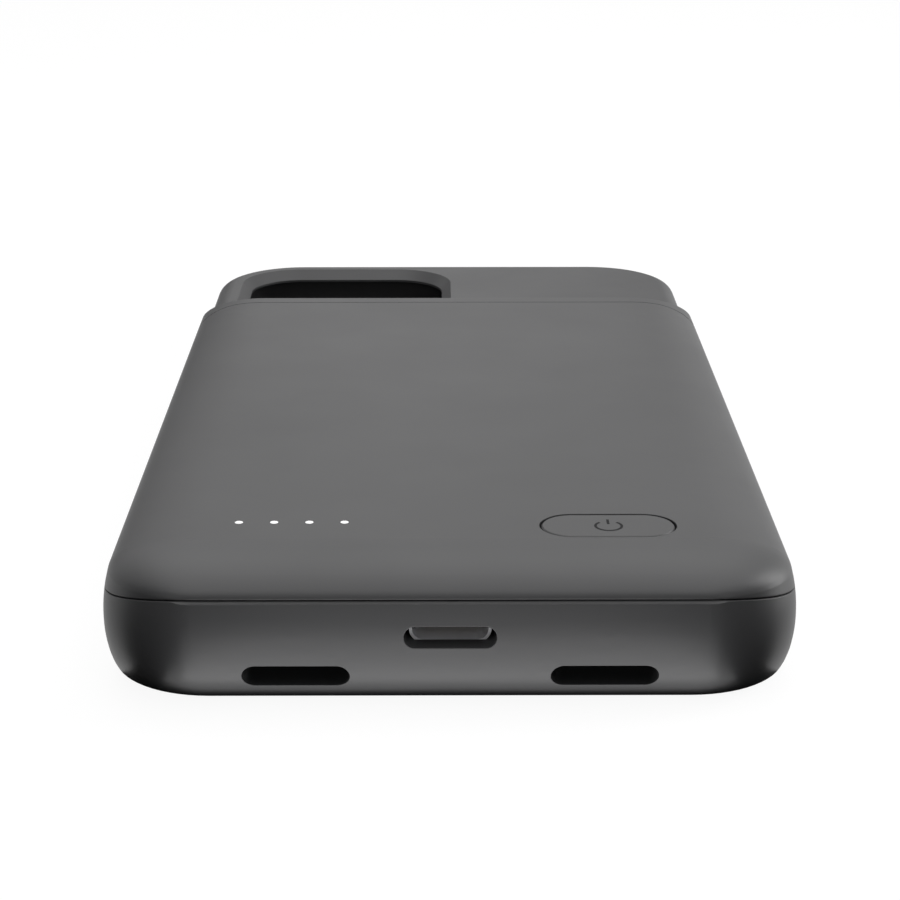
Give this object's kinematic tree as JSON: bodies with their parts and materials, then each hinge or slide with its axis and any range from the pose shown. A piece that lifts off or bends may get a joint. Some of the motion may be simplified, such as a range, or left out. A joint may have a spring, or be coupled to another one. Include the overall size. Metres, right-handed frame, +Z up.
{
  "type": "battery charging case",
  "caption": "Slim battery case that a phone slips into: hard body with cell, end socket and power key, and a soft upper frame with a camera window.",
  "frame": {"origin": "under the middle of the case, on the plane of the front lip that it lies on", "axes": "+X to the right seen from the charging end, +Y from the charging end to the camera end, +Z up from the lip to the back"},
  "size_m": [0.077, 0.1601, 0.0165],
  "materials": {
    "moulded_body": "satin soft-touch moulding",
    "soft_frame": "satin soft moulding",
    "light_tip": "clear diffusing moulding",
    "socket_steel": "bright drawn steel",
    "black_insert": "black connector plastic",
    "circuit_board": "green solder mask",
    "chip_black": "black epoxy",
    "ferrite": "grey ferrite",
    "ceramic": "tan ceramic",
    "connector_white": "natural nylon",
    "lead_red": "red insulation",
    "lead_black": "black insulation",
    "screw_steel": "zinc-plated steel",
    "pin_brass": "plated brass",
    "nickel": "nickel strip",
    "cell_foil": "laminated foil pouch",
    "tape": "double-sided tape",
    "foam": "closed-cell foam",
    "switch_plastic": "black nylon",
    "plunger_plastic": "natural nylon"
  },
  "bodies": {
    "case": {"lower_housing": "moulded_body", "back_cover": "moulded_body", "soft_top_frame": "soft_frame", "socket_shell": "socket_steel", "socket_tongue": "black_insert", "plug_shell": "socket_steel", "plug_insert": "black_insert", "plug_body": "black_insert", "plug_board": "circuit_board", "link_pins": "pin_brass", "main_board": "circuit_board", "led_chips": "connector_white", "light_guide": "light_tip", "charger_chip": "chip_black", "boost_coil": "ferrite", "capacitors": "ceramic", "battery_connector": "connector_white", "positive_lead": "lead_red", "negative_lead": "lead_black", "board_screws": "screw_steel", "switch_body": "switch_plastic", "battery_cell": "cell_foil", "battery_tape": "tape", "cushion_pad": "foam", "cell_tabs": "nickel", "protection_board": "circuit_board"},
    "power_button": {"power_button": "moulded_body"},
    "switch_plunger": {"switch_plunger": "plunger_plastic"}
  },
  "joints": [
    {"name": "power_button_press", "type": "slide", "parent": "case", "child": "power_button", "axis": [0, 0, -1], "range_m": [0, 0.0003], "stiffness_N_per_m": 2500},
    {"name": "switch_plunger_press", "type": "slide", "parent": "case", "child": "switch_plunger", "axis": [0, 0, -1], "range_m": [0, 0.0003]}
  ],
  "couplings": [
    {"joint": "switch_plunger_press", "follows": "power_button_press", "ratio": 1}
  ]
}
